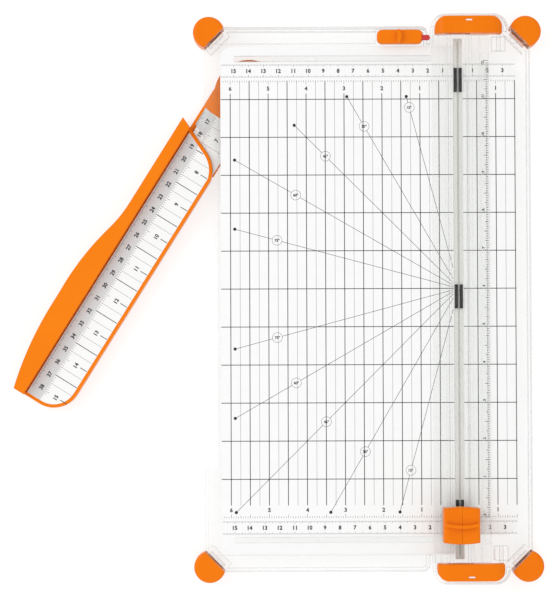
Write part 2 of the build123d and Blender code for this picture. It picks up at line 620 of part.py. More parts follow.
for name, side in (("left", -1), ("right", 1)):
    with BuildPart() as head_shell:
        with BuildSketch(Plane.XY.offset(HEAD_BOTTOM)):
            head_plan()
        extrude(amount=HEAD_TOP - HEAD_BOTTOM)
        fillet(head_shell.edges().group_by(Axis.Z)[-1], 3.0)
        add(scoop.part, mode=Mode.SUBTRACT)
        # curved finger fin across the top
        with BuildSketch(Plane.XY.offset(HEAD_TOP - 2)):
            with BuildLine():
                fin_y = HEAD_Y + FIN_OFFSET
                ends = ((-FIN_HALF_SPAN, fin_y), (FIN_HALF_SPAN, fin_y))
                ThreePointArc(ends[0], (0, fin_y - FIN_SAG), ends[1])
                offset(amount=FIN_THICKNESS / 2, side=Side.BOTH)
            make_face()
        extrude(amount=FIN_TOP - HEAD_TOP + 2)
        fillet(head_shell.edges().group_by(Axis.Z)[-1], 0.6)
        # hollow inside
        with BuildSketch(Plane.XY.offset(HEAD_BOTTOM)):
            head_plan()
            offset(amount=-HEAD_WALL)
        extrude(amount=HEAD_ROOF - HEAD_BOTTOM, mode=Mode.SUBTRACT)
        # notches over the rail's tracks
        with BuildSketch(Plane.XZ.offset(-HEAD_Y)):
            with Locations((0, HEAD_BOTTOM)):
                Rectangle(2 * TRACK_OUTER + 1, TRACK_TOP + HEAD_TRAVEL + 0.6 - HEAD_BOTTOM,
                          align=(Align.CENTER, Align.MIN))
        extrude(amount=HEAD_HALF_Y + 2 * HEAD_BOW, both=True, mode=Mode.SUBTRACT)
        # web that holds the axle
        with BuildSketch(Plane.YZ.offset(side * WEB_INNER)):
            with Locations((HEAD_Y, WEB_BOTTOM)):
                Rectangle(2 * WEB_HALF_LENGTH, HEAD_ROOF - WEB_BOTTOM + 0.5, align=(Align.CENTER, Align.MIN))
            with Locations((HEAD_Y, BLADE_Z)):
                Circle(AXLE_RADIUS, mode=Mode.SUBTRACT)
        extrude(amount=side * (WEB_OUTER - WEB_INNER))
        # slot in the roof for the blade
        with BuildSketch(Plane.YZ):
            with Locations((HEAD_Y, BLADE_Z)):
                Circle(BLADE_RADIUS + 0.4)
        extrude(amount=WEB_INNER - 0.3, both=True, mode=Mode.SUBTRACT)
        # keep this half
        with BuildSketch(Plane.XY.offset(HEAD_BOTTOM - 1)):
            with Locations((side * PARTING_GAP, HEAD_Y)):
                Rectangle(40, 60, align=(Align.MIN if side > 0 else Align.MAX, Align.CENTER))
        extrude(amount=40, mode=Mode.INTERSECT)
    save(head_shell.part, f"head_shell_{name}")

with BuildPart() as blade_axle:
    with BuildSketch(Plane.YZ):
        with Locations((HEAD_Y, BLADE_Z)):
            Circle(AXLE_RADIUS)
    extrude(amount=WEB_OUTER, both=True)
save(blade_axle.part, "blade_axle")

with BuildPart() as blade_hub:
    with BuildSketch(Plane.YZ):
        with Locations((HEAD_Y, BLADE_Z)):
            Circle(HUB_RADIUS)
    extrude(amount=HUB_HALF, both=True)
    with BuildSketch(Plane.YZ):
        with Locations((HEAD_Y, BLADE_Z)):
            Circle(HUB_RADIUS)
            Circle(HUB_RADIUS - 0.9, mode=Mode.SUBTRACT)
    extrude(amount=BLADE_THICKNESS / 2, both=True, mode=Mode.SUBTRACT)
    with BuildSketch(Plane.YZ):
        with Locations((HEAD_Y, BLADE_Z)):
            Circle(AXLE_RADIUS + RUNNING_FIT)
    extrude(amount=HUB_HALF, both=True, mode=Mode.SUBTRACT)
save(blade_hub.part, "blade_hub")

with BuildPart() as rotary_blade:
    with BuildSketch(Plane.YZ):
        with Locations((HEAD_Y, BLADE_Z)):
            Circle(BLADE_RADIUS)
    extrude(amount=BLADE_THICKNESS / 2, both=True)
    chamfer(rotary_blade.edges().filter_by(GeomType.CIRCLE), length=0.2, length2=1.0)
    with BuildSketch(Plane.YZ):
        with Locations((HEAD_Y, BLADE_Z)):
            Circle(HUB_RADIUS - 0.9)
    extrude(amount=BLADE_THICKNESS / 2, both=True, mode=Mode.SUBTRACT)
save(rotary_blade.part, "rotary_blade")

# ================================ latch =======================================================
with BuildPart() as latch_slider:
    with BuildSketch(Plane.XY.offset(LATCH_BOTTOM)):
        with Locations(((LATCH_LEFT + LATCH_RIGHT) / 2, LATCH_Y)):
            RectangleRounded(LATCH_RIGHT - LATCH_LEFT, LATCH_WIDTH, 3.6)
    extrude(amount=LATCH_TOP - LATCH_BOTTOM)
    fillet(latch_slider.edges().group_by(Axis.Z)[-1], 1.5)
    # curved finger fin
    with BuildSketch(Plane.XY.offset(LATCH_TOP - 1)):
        with BuildLine():
            ThreePointArc((LATCH_FIN_X - 0.2, LATCH_Y + 3.2), (LATCH_FIN_X + 0.3, LATCH_Y),
                          (LATCH_FIN_X - 0.2, LATCH_Y - 3.2))
            offset(amount=1.4, side=Side.BOTH)
        make_face()
    extrude(amount=LATCH_FIN_TOP - LATCH_TOP + 1)
    fillet(latch_slider.edges().group_by(Axis.Z)[-1], 0.5)
    # keel that runs in the tray's slot
    with BuildSketch(Plane.XY.offset(DECK_BOTTOM - 0.3)):
        with Locations((LATCH_FIN_X, LATCH_Y)):
            Rectangle(KEEL_LENGTH, KEEL_WIDTH)
    extrude(amount=LATCH_BOTTOM - DECK_BOTTOM + 0.3)
    with BuildSketch(Plane.XY.offset(DECK_BOTTOM - 0.3)):
        with Locations((LATCH_FIN_X, LATCH_Y)):
            Circle(1.0)
    extrude(amount=5, mode=Mode.SUBTRACT)
    # socket for the bolt
    with BuildSketch(Plane.XY.offset(BOLT_BOTTOM)):
        with Locations((LATCH_RIGHT - 6, BOLT_Y)):
            Rectangle(10, BOLT_WIDTH, align=(Align.MIN, Align.CENTER))
    extrude(amount=BOLT_TOP - BOLT_BOTTOM, mode=Mode.SUBTRACT)
save(latch_slider.part, "latch_slider")

with BuildPart() as latch_bolt:
    with BuildSketch(Plane.XY.offset(BOLT_BOTTOM)):
        with Locations((LATCH_RIGHT - 6, BOLT_Y)):
            bar = Rectangle(BOLT_TIP - LATCH_RIGHT + 6, BOLT_WIDTH, align=(Align.MIN, Align.CENTER))
        chamfer(bar.vertices().group_by(Axis.X)[-1], 1.0)
    extrude(amount=BOLT_TOP - BOLT_BOTTOM)
save(latch_bolt.part, "latch_bolt")

with BuildPart() as latch_retainer:
    with BuildSketch(Plane.XY.offset(DECK_BOTTOM - 1.5)):
        with Locations((LATCH_FIN_X, LATCH_Y)):
            RectangleRounded(22, 8.0, 2)
            Circle(1.0, mode=Mode.SUBTRACT)
    extrude(amount=1.2)
save(latch_retainer.part, "latch_retainer")

with BuildPart() as latch_screw:
    with BuildSketch(Plane.XY.offset(DECK_BOTTOM - 3.0)):
        with Locations((LATCH_FIN_X, LATCH_Y)):
            Circle(2.2)
    extrude(amount=1.5)
    with BuildSketch(Plane.XY.offset(DECK_BOTTOM - 1.5)):
        with Locations((LATCH_FIN_X, LATCH_Y)):
            Circle(1.0)
    extrude(amount=5.5)
save(latch_screw.part, "latch_screw")


# ================================ ruler arm ===================================================
def high_plan():
    """Plan of the raised outer part, label field and handle together."""
    tip_start = ARM_LENGTH - ARM_TIP_RADIUS
    with BuildLine() as outline:
        # step up from the low part
        step = Line((HANDLE_START, -ARM_OUTER), STEP_BEND)
        TangentArc(STEP_BEND, (STEP_END, -ARM_EDGE), tangent=step % 1)
        # handle, with the bulge that the hand pulls
        Line((HANDLE_START, -ARM_OUTER), (BULGE_START, -ARM_OUTER))
        swell = TangentArc((BULGE_START, -ARM_OUTER), BULGE_MIDDLE, tangent=(1, 0))
        TangentArc(BULGE_MIDDLE, (BULGE_PEAK[0], -BULGE_DEPTH), tangent=swell % 1)
        Line((BULGE_PEAK[0], -BULGE_DEPTH), (BULGE_PEAK[1], -BULGE_DEPTH))
        TangentArc((BULGE_PEAK[1], -BULGE_DEPTH), (ARM_LENGTH, -ARM_OUTER), tangent=(1, 0))
        # tip and plain edge
        Line((ARM_LENGTH, -ARM_OUTER), (ARM_LENGTH, -ARM_EDGE - ARM_TIP_RADIUS))
        TangentArc((ARM_LENGTH, -ARM_EDGE - ARM_TIP_RADIUS), (tip_start, -ARM_EDGE), tangent=(0, 1))
        Line((tip_start, -ARM_EDGE), (STEP_END, -ARM_EDGE))
    make_face(outline.edges())


with BuildPart() as ruler_arm:
    # low part that swings under the deck
    with BuildSketch(arm_plane(ARM_LOW_BOTTOM)):
        Circle(ARM_BASE_RADIUS)
        with Locations((0, -ARM_LOW_EDGE)):
            Rectangle(60, ARM_LOW_EDGE - ARM_EDGE, align=(Align.MIN, Align.MIN))
    extrude(amount=ARM_LOW_TOP - ARM_LOW_BOTTOM)
    # high part
    with BuildSketch(arm_plane(ARM_BOTTOM)):
        high_plan()
    extrude(amount=ARM_TOP - ARM_BOTTOM)
    # handle
    with BuildSketch(arm_plane(ARM_TOP - 1)):
        high_plan()
        with Locations((0, -ARM_FENCE)):
            Rectangle(600, 60, align=(Align.CENTER, Align.MIN), mode=Mode.SUBTRACT)
    extrude(amount=HANDLE_TOP - ARM_TOP + 1)
    # hollow underside
    with BuildSketch(arm_plane(ARM_BOTTOM)):
        high_plan()
        offset(amount=-ARM_WALL)
        for rib in (100, 138, 176, 214):
            with Locations((rib, 0)):
                Rectangle(ARM_WALL, 100, mode=Mode.SUBTRACT)
    extrude(amount=ARM_TOP - ARM_BOTTOM - ARM_ROOF, mode=Mode.SUBTRACT)
    # recesses for the two labels
    with BuildSketch(arm_plane(ARM_TOP - LABEL_THICKNESS)):
        high_plan()
        offset(amount=-LABEL_MARGIN)
        with Locations((0, -LABEL_EDGE)):
            Rectangle(600, 60, align=(Align.CENTER, Align.MAX), mode=Mode.SUBTRACT)
    extrude(amount=LABEL_THICKNESS, mode=Mode.SUBTRACT)
    # groove between the label and the fence
    with BuildSketch(arm_plane(GROOVE_BOTTOM)):
        high_plan()
        offset(amount=-ARM_WALL)
        for edge, align in ((-ARM_FENCE, Align.MAX), (-LABEL_EDGE, Align.MIN)):
            with Locations((0, edge)):
                Rectangle(600, 60, align=(Align.CENTER, align), mode=Mode.SUBTRACT)
    extrude(amount=ARM_TOP - GROOVE_BOTTOM, mode=Mode.SUBTRACT)
    # bore for the bush
    with BuildSketch(arm_plane(ARM_LOW_BOTTOM)):
        Circle(BUSH_RADIUS)
    extrude(amount=ARM_LOW_TOP - ARM_LOW_BOTTOM, mode=Mode.SUBTRACT)
save(ruler_arm.part, "ruler_arm")

with BuildPart() as arm_scale_label:
    with BuildSketch(arm_plane(ARM_TOP - LABEL_THICKNESS)):
        high_plan()
        offset(amount=-LABEL_MARGIN)
        with Locations((0, -LABEL_EDGE)):
            Rectangle(600, 60, align=(Align.CENTER, Align.MAX), mode=Mode.SUBTRACT)
    extrude(amount=LABEL_THICKNESS)
save(arm_scale_label.part, "arm_scale_label")

with BuildPart() as arm_inner_label:
    with BuildSketch(arm_plane(ARM_LOW_TOP)):
        with Locations((INNER_LABEL_START, -18.4)):
            Rectangle(STEP_END - INNER_LABEL_START, 18.4 - ARM_EDGE - 0.8, align=(Align.MIN, Align.MIN))
        with BuildLine():
            step = Line((HANDLE_START - 0.3, -ARM_OUTER), (STEP_BEND[0] - 0.3, STEP_BEND[1]))
            TangentArc(step @ 1, (STEP_END - 0.3, -ARM_EDGE), tangent=step % 1)
            Polyline((STEP_END - 0.3, -ARM_EDGE), (80, -ARM_EDGE), (80, -ARM_OUTER),
                     (HANDLE_START - 0.3, -ARM_OUTER))
        make_face(mode=Mode.SUBTRACT)
    extrude(amount=LABEL_THICKNESS)
save(arm_inner_label.part, "arm_inner_label")

with BuildPart() as arm_pivot_bush:
    with BuildSketch(arm_plane(ARM_LOW_BOTTOM)):
        Circle(BUSH_RADIUS)
        Circle(BOSS_RADIUS + RUNNING_FIT, mode=Mode.SUBTRACT)
    extrude(amount=ARM_LOW_TOP - ARM_LOW_BOTTOM)
save(arm_pivot_bush.part, "arm_pivot_bush")

with BuildPart() as arm_glide_pad:
    with BuildSketch(arm_plane(0.3)):
        with Locations((232, -18)):
            Circle(5)
    extrude(amount=ARM_TOP - 2.4 - 0.3)
save(arm_glide_pad.part, "arm_glide_pad")
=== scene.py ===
"""Rotary paper trimmer: printed deck, clear rail and base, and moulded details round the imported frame."""
import json
import math

import bmesh
import bpy
from mathutils import Matrix, Vector


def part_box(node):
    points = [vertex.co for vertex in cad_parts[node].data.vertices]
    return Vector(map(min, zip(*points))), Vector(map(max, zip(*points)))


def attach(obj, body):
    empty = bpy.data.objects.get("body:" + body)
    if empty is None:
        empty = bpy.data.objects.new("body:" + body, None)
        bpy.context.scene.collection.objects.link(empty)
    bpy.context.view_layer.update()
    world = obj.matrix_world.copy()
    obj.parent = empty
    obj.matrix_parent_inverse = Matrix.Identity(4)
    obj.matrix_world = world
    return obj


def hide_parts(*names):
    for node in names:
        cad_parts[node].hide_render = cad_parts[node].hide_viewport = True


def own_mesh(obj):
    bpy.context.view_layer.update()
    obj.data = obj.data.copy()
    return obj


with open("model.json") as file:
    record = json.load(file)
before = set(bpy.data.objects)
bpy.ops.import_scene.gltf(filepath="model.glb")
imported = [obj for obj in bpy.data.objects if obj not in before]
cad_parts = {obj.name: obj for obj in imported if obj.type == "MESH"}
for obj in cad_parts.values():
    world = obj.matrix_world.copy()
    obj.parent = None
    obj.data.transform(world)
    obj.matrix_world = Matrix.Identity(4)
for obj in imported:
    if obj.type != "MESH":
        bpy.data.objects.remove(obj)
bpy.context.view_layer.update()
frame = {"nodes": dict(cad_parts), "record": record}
MM = 0.001
CM = 0.01
INCH = 0.0254

# ---- places taken from the frame ---------------------------------------------------------------
left_low, left_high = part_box("deck_panel_left")
right_low, right_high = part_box("deck_panel_right")
ruler_low, ruler_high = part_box("rail_ruler")
washer_low, washer_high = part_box("arm_pivot_washer")
joints = {joint["name"]: joint for joint in frame["record"]["behaviour"]["joints"]}
PANEL_TOP = left_high.z
ARM_LABEL_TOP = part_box("arm_scale_label")[1].z
INNER_LABEL_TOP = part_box("arm_inner_label")[1].z
PIVOT = (washer_low + washer_high) / 2
FENCE_Y = 159.0 * MM                 # inner face of the rear fence, the 12 inch line
ZERO_Y = FENCE_Y - 12 * INCH         # the rail ruler's zero, near the front fence
HUB_Y = ZERO_Y + 6 * INCH            # the angle lines meet here on the cut line

# ---- print sizes -------------------------------------------------------------------------------
INK_THICKNESS = 0.02 * MM
FIGURE = 2.9 * MM                    # height of the deck's and the arm's numbers
SMALL_FIGURE = 2.1 * MM              # height of the numbers in the angle rings
RAIL_FIGURE = 1.9 * MM
FIGURE_WEIGHT = 0.042                # how far a figure's strokes are thickened, in its own units
HEAVY_LINE = 0.52 * MM
ARM_HEAVY_LINE = 0.5 * MM
LIGHT_LINE = 0.3 * MM
TICK_LINE = 0.24 * MM
RAIL_TICK_LINE = 0.32 * MM
RING_LINE = 0.22 * MM

SHEET_MARGIN = 0.4 * MM              # unprinted border along the sheets' edges
OUTER_MARGIN = 0.3 * MM              # the same at the right edge of the right sheet
GRID_MARGIN = 0.2 * MM               # where the cross lines start on the left sheet
GRID_REAR = 146.0 * MM
GRID_FRONT = -137.9 * MM
NUMBERED_LINE_REAR = 137.5 * MM      # whole inch lines stop here, in front of their numbers
CM_FIGURES = 152.7 * MM              # rows, each at the rear and, mirrored, at the front
CM_TICKS_OUTER = 157.2 * MM
CM_TICKS_INNER = 148.3 * MM
INCH_FIGURES = 140.9 * MM
INCH_TICKS_START = 146.3 * MM

CM_TICKS = ((10, 1.7 * MM), (5, 1.3 * MM), (1, 0.9 * MM))    # every how many ticks, and their length
INCH_TICKS = ((16, 2.6 * MM), (8, 2.2 * MM), (4, 1.6 * MM), (1, 1.1 * MM))

ANGLES = (15, 30, 45, 60, 75)
RING_DISTANCE = 125.6 * MM           # from the hub to the ring round each angle's number
RING_RADIUS = 3.3 * MM
DOT_RADIUS = 1.1 * MM
ANGLES_LEFT = -149.6 * MM            # the angle lines end on these three edges
ANGLES_REAR = 135.3 * MM
ANGLES_FRONT = -142.5 * MM
REAR_45_LENGTH = 155.0 * MM          # the rear 45 degree line is cut short

ARM_CM_EDGE = -19.9 * MM             # across the arm, from the pivot's line, away from the handle
ARM_CM_BASE = -10.2 * MM
ARM_INCH_EDGE = 6.4 * MM
ARM_ZONE_EDGE = -19.95 * MM
ARM_CM_FIGURES = -13.9 * MM
ARM_INCH_FIGURES = -2.0 * MM
ARM_FIGURE_MARGIN = 3.0 * MM         # no number this close to a label's end
ARM_CM_TICKS = ((10, 2.4 * MM), (5, 1.7 * MM), (1, 1.2 * MM))
ARM_INCH_TICKS = ((16, 2.6 * MM), (8, 2.2 * MM), (4, 1.7 * MM), (1, 1.1 * MM))
ARM_TICK_GAP = 0.2 * MM              # from the base line to the inch ticks
ARM_LIGHT_GAP = 2.2 * MM             # from the base line to the light quarter inch lines
ARM_NUMBERED_LINE = 1.2 * MM         # whole inch lines start here, past their numbers
ARM_LEAST_REACH = 3 * MM             # no inch mark where the print is narrower than this
STEP_CENTRE = (67.6 * MM, -11.5 * MM)    # the arm's curved step, round which its print stops
STEP_RADIUS = 20.9 * MM
STEP_BORDER = 2.6 * MM

# ---- material helpers --------------------------------------------------------------------------


def new_material(name):
    """An empty node material and its tree, its Principled shader and its output node."""
    material = bpy.data.materials.new(name)
    material.use_nodes = True
    tree = material.node_tree
    return material, tree, tree.nodes["Principled BSDF"], tree.nodes["Material Output"]


def feed(tree, value, socket):
    """Gives a socket its value: another node's output, a colour or a number."""
    if isinstance(value, bpy.types.NodeSocket):
        tree.links.new(value, socket)
    elif isinstance(value, tuple):
        socket.default_value = (*value, 1)
    else:
        socket.default_value = value


def noise(tree, scale, detail=4.0, roughness=0.55):
    """A noise texture in object space, scale in features per metre."""
    place = tree.nodes.new("ShaderNodeTexCoord")
    texture = tree.nodes.new("ShaderNodeTexNoise")
    texture.inputs["Scale"].default_value = scale
    texture.inputs["Detail"].default_value = detail
    texture.inputs["Roughness"].default_value = roughness
    tree.links.new(place.outputs["Object"], texture.inputs["Vector"])
    return texture.outputs["Fac"]


def remap(tree, value, low, high, start=0.3, end=0.7):
    """The value mapped from start..end to low..high."""
    node = tree.nodes.new("ShaderNodeMapRange")
    node.inputs["From Min"].default_value = start
    node.inputs["From Max"].default_value = end
    node.inputs["To Min"].default_value = low
    node.inputs["To Max"].default_value = high
    tree.links.new(value, node.inputs["Value"])
    return node.outputs["Result"]


def calculate(tree, operation, first, second, clamp=False):
    """The result of a sum on two values."""
    node = tree.nodes.new("ShaderNodeMath")
    node.operation = operation
    node.use_clamp = clamp
    feed(tree, first, node.inputs[0])
    feed(tree, second, node.inputs[1])
    return node.outputs["Value"]


def blend_colours(tree, factor, first, second):
    """A colour between first and second."""
    node = tree.nodes.new("ShaderNodeMix")
    node.data_type = "RGBA"
    feed(tree, first, node.inputs["A"])
    feed(tree, second, node.inputs["B"])
    tree.links.new(factor, node.inputs["Factor"])
    return node.outputs["Result"]


def soft_edges(tree, radius):
    """A normal that rounds the sharp edges of a moulding."""
    node = tree.nodes.new("ShaderNodeBevel")
    node.samples = 6
    node.inputs["Radius"].default_value = radius
    return node.outputs["Normal"]


def bump(tree, height, distance, strength=0.5, normal=None):
    """A bump from a height value, over an optional rounded normal."""
    node = tree.nodes.new("ShaderNodeBump")
    node.inputs["Distance"].default_value = distance
    node.inputs["Strength"].default_value = strength
    tree.links.new(height, node.inputs["Height"])
    if normal is not None:
        tree.links.new(normal, node.inputs["Normal"])
    return node.outputs["Normal"]


def moulded(name, colour, dark, roughness=0.32, edge_highlight=None, gloss=0.5):
    """Moulded plastic: fine spark-eroded grain, faint flow marks and lighter convex edges, a painted
    highlight.
    """
    material, tree, shader, _ = new_material(name)
    flow = remap(tree, noise(tree, scale=38.0, detail=3.0), 0.0, 1.0)
    tint = blend_colours(tree, flow, dark, colour)
    if edge_highlight:
        # painted highlight: convex edges, found by pointiness, get a lighter colour where light would catch
        # them
        pointed = tree.nodes.new("ShaderNodeNewGeometry").outputs["Pointiness"]
        highlit_edges = remap(tree, pointed, 0.0, 0.35, start=0.52, end=0.6)
        tint = blend_colours(tree, highlit_edges, tint, edge_highlight)
    feed(tree, tint, shader.inputs["Base Color"])
    patches = remap(tree, noise(tree, scale=90.0), roughness - 0.05, roughness + 0.06)
    feed(tree, patches, shader.inputs["Roughness"])
    grain = noise(tree, scale=2600.0, detail=2.0)
    rounded = soft_edges(tree, 0.5 * MM)
    feed(tree, bump(tree, grain, 0.03 * MM, 0.35, rounded), shader.inputs["Normal"])
    shader.inputs["IOR"].default_value = 1.5
    shader.inputs["Specular IOR Level"].default_value = gloss
    return material


def clear_plastic(name, body, edge_shade, face_cover=0.02, rim_cover=0.62):
    """Clear polished plastic: see-through where it faces out, with painted grey shade where its faces turn
    edge-on, and a clean gloss.

    Shadow and diffuse rays pass it freely, so it casts no grey shade on the print below.
    """
    material, tree, shader, output = new_material(name)
    ripple = noise(tree, scale=60.0, detail=2.0)
    rounded = bump(tree, ripple, 0.05 * MM, 0.15, soft_edges(tree, 0.8 * MM))
    feed(tree, rounded, shader.inputs["Normal"])
    shader.inputs["Roughness"].default_value = 0.08
    shader.inputs["IOR"].default_value = 1.5
    weight = tree.nodes.new("ShaderNodeLayerWeight")
    weight.inputs["Blend"].default_value = 0.42
    feed(tree, rounded, weight.inputs["Normal"])
    facing = weight.outputs["Facing"]
    # painted shade: faces turning edge-on are tinted towards the grey edge colour, the darkening clear
    # walls show seen edge-on
    feed(tree, blend_colours(tree, facing, body, edge_shade), shader.inputs["Base Color"])
    cloud = remap(tree, noise(tree, scale=22.0, detail=2.0), 0.8, 1.2)
    cover = remap(tree, facing, face_cover, rim_cover, start=0.05, end=0.85)
    clouded = calculate(tree, "MULTIPLY", cover, cloud, clamp=True)
    rays = tree.nodes.new("ShaderNodeLightPath").outputs
    passing = calculate(tree, "MAXIMUM", rays["Is Shadow Ray"], rays["Is Diffuse Ray"])
    shown = calculate(tree, "MULTIPLY", clouded, calculate(tree, "SUBTRACT", 1.0, passing))
    open_air = tree.nodes.new("ShaderNodeBsdfTransparent")
    open_air.inputs["Color"].default_value = (0.978, 0.979, 0.976, 1)
    mix = tree.nodes.new("ShaderNodeMixShader")
    tree.links.new(shown, mix.inputs["Fac"])
    tree.links.new(open_air.outputs["BSDF"], mix.inputs[1])
    tree.links.new(shader.outputs["BSDF"], mix.inputs[2])
    tree.links.new(mix.outputs["Shader"], output.inputs["Surface"])
    return material


def printed_sheet(name, colour, shade):
    """White printed sheet: a satin face with faint mottling."""
    material, tree, shader, _ = new_material(name)
    mottle = remap(tree, noise(tree, scale=120.0), 0, 1)
    feed(tree, blend_colours(tree, mottle, shade, colour), shader.inputs["Base Color"])
    feed(tree, remap(tree, noise(tree, scale=400.0), 0.3, 0.42), shader.inputs["Roughness"])
    tooth = noise(tree, scale=1500.0, detail=2.0)
    feed(tree, bump(tree, tooth, 0.01 * MM, 0.3), shader.inputs["Normal"])
    return material


def ink(name, colour):
    """Screen-printed ink with slightly uneven density."""
    material, tree, shader, _ = new_material(name)
    lighter = tuple(channel * 1.08 + 0.006 for channel in colour)
    density = remap(tree, noise(tree, scale=900.0), 0, 1)
    feed(tree, blend_colours(tree, density, colour, lighter), shader.inputs["Base Color"])
    shader.inputs["Roughness"].default_value = 0.45
    return material


def cutting_mat(name):
    """Soft grey self-healing mat with fine speckle."""
    material, tree, shader, _ = new_material(name)
    speckle = remap(tree, noise(tree, scale=3200.0, detail=2.0), 0, 1)
    colour = blend_colours(tree, speckle, (0.55, 0.55, 0.52), (0.68, 0.68, 0.64))
    feed(tree, colour, shader.inputs["Base Color"])
    shader.inputs["Roughness"].default_value = 0.7
    grain = noise(tree, scale=2600.0, detail=3.0)
    feed(tree, bump(tree, grain, 0.03 * MM, 0.5), shader.inputs["Normal"])
    return material


def rubber(name):
    """Matt black rubber with a fine grain."""
    material, tree, shader, _ = new_material(name)
    bloom = remap(tree, noise(tree, scale=700.0), 0, 1)
    colour = blend_colours(tree, bloom, (0.012, 0.012, 0.013), (0.03, 0.03, 0.032))
    feed(tree, colour, shader.inputs["Base Color"])
    feed(tree, remap(tree, noise(tree, scale=500.0), 0.55, 0.75), shader.inputs["Roughness"])
    grain = noise(tree, scale=3000.0)
    feed(tree, bump(tree, grain, 0.04 * MM, 0.6, soft_edges(tree, 0.3 * MM)), shader.inputs["Normal"])
    return material


def ground_steel(name):
    """Ground steel with fine directional scratches."""
    material, tree, shader, _ = new_material(name)
    place = tree.nodes.new("ShaderNodeTexCoord")
    stretch = tree.nodes.new("ShaderNodeMapping")
    stretch.inputs["Scale"].default_value = (9000, 300, 300)
    texture = tree.nodes.new("ShaderNodeTexNoise")
    texture.inputs["Scale"].default_value = 1.0
    tree.links.new(place.outputs["Object"], stretch.inputs["Vector"])
    tree.links.new(stretch.outputs["Vector"], texture.inputs["Vector"])
    scratches = texture.outputs["Fac"]
    colour = blend_colours(tree, scratches, (0.46, 0.46, 0.48), (0.62, 0.62, 0.63))
    feed(tree, colour, shader.inputs["Base Color"])
    shader.inputs["Metallic"].default_value = 1.0
    feed(tree, remap(tree, scratches, 0.22, 0.4), shader.inputs["Roughness"])
    rounded = soft_edges(tree, 0.2 * MM)
    feed(tree, bump(tree, scratches, 0.01 * MM, 0.3, rounded), shader.inputs["Normal"])
    return material


MATERIALS = {
    # the orange's lighter edge colour is a painted highlight on its convex edges
    "orange_plastic": moulded("orange_plastic", (0.74, 0.166, 0.0003), (0.72, 0.15, 0.0003), 0.3,
                              edge_highlight=(0.78, 0.21, 0.004), gloss=0.09),
    # painted shade: the latch bolt's deep red is the orange plastic as it looks in shadow under the clear
    # rim
    "red_plastic": moulded("red_plastic", (0.48, 0.016, 0.02), (0.4, 0.01, 0.014), 0.3),
    "grey_plastic": moulded("grey_plastic", (0.2, 0.2, 0.21), (0.15, 0.15, 0.16), 0.45),
    # the third colour of each clear plastic is painted shade on faces seen edge-on
    "clear_plastic": clear_plastic("clear_plastic", (0.93, 0.94, 0.94), (0.42, 0.43, 0.44)),
    "printed_clear": clear_plastic("printed_clear", (0.93, 0.94, 0.94), (0.7, 0.71, 0.71),
                                   face_cover=0.1, rim_cover=0.3),
    "printed_white": printed_sheet("printed_white", (0.76, 0.765, 0.76), (0.745, 0.75, 0.745)),
    "white_plastic": moulded("white_plastic", (0.8, 0.78, 0.79), (0.76, 0.74, 0.75), 0.4),
    "grey_mat": cutting_mat("grey_mat"),
    "black_rubber": rubber("black_rubber"),
    "steel": ground_steel("steel"),
}
INK_BLACK = ink("ink_black", (0.012, 0.012, 0.013))
INK_GREY = ink("ink_grey", (0.3, 0.3, 0.3))
INK_ZONE = ink("ink_zone", (0.53, 0.535, 0.54))

for part in frame["record"]["subparts"]:
    node = frame["nodes"][part["node"]]
    node.data.materials.clear()
    node.data.materials.append(MATERIALS[part["material_slot"]])

# ---- print -------------------------------------------------------------------------------------


class Print:
    """Marks printed on one face: thin raised bars, discs, rings and figures in the face's own plane."""

    def __init__(self, plane):
        self.plane = plane
        self.mesh = bmesh.new()

    def prism(self, outline, thickness=INK_THICKNESS):
        """A thin closed prism over a flat outline."""
        low = [self.mesh.verts.new(self.plane @ Vector((x, y, 0))) for x, y in outline]
        high = [self.mesh.verts.new(self.plane @ Vector((x, y, thickness))) for x, y in outline]
        self.mesh.faces.new(low[::-1])
        self.mesh.faces.new(high)
        count = len(outline)
        for i in range(count):
            j = (i + 1) % count
            self.mesh.faces.new((low[i], low[j], high[j], high[i]))

    def line(self, start, end, width):
        """A straight stroke between two points."""
        a, b = Vector(start), Vector(end)
        across = (b - a).normalized().orthogonal() * width / 2
        self.prism([a - across, b - across, b + across, a + across])

    def disc(self, centre, radius, steps=24):
        """A filled dot."""
        angles = [2 * math.pi * i / steps for i in range(steps)]
        self.prism([(centre[0] + radius * math.cos(a), centre[1] + radius * math.sin(a)) for a in angles])

    def ring(self, centre, radius, width, steps=32):
        """A printed circle."""
        inner, outer = radius - width / 2, radius + width / 2
        for i in range(steps):
            start, end = (2 * math.pi * (i + k) / steps for k in (0, 1))
            corners = ((inner, start), (outer, start), (outer, end), (inner, end))
            self.prism([(centre[0] + r * math.cos(a), centre[1] + r * math.sin(a)) for r, a in corners])

    def figure(self, text, centre, height, turn=0.0):
        """A number, centred on a point and turned in the face's plane."""
        glyphs = figure_mesh(text)
        place = Matrix.Translation((*centre, 0)) @ Matrix.Rotation(turn, 4, "Z")
        place = self.plane @ place @ Matrix.Diagonal((height, height, INK_THICKNESS, 1))
        known = len(self.mesh.verts)
        self.mesh.from_mesh(glyphs)
        self.mesh.verts.ensure_lookup_table()
        bmesh.ops.transform(self.mesh, matrix=place, verts=self.mesh.verts[known:])

    def finish(self, name, material, body, slot="printed_white"):
        """Turns the marks into a piece that rides on a body."""
        data = bpy.data.meshes.new(name)
        self.mesh.to_mesh(data)
        self.mesh.free()
        data.materials.append(material)
        piece = bpy.data.objects.new(name, data)
        bpy.context.scene.collection.objects.link(piece)
        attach(piece, body)


GLYPHS = {}


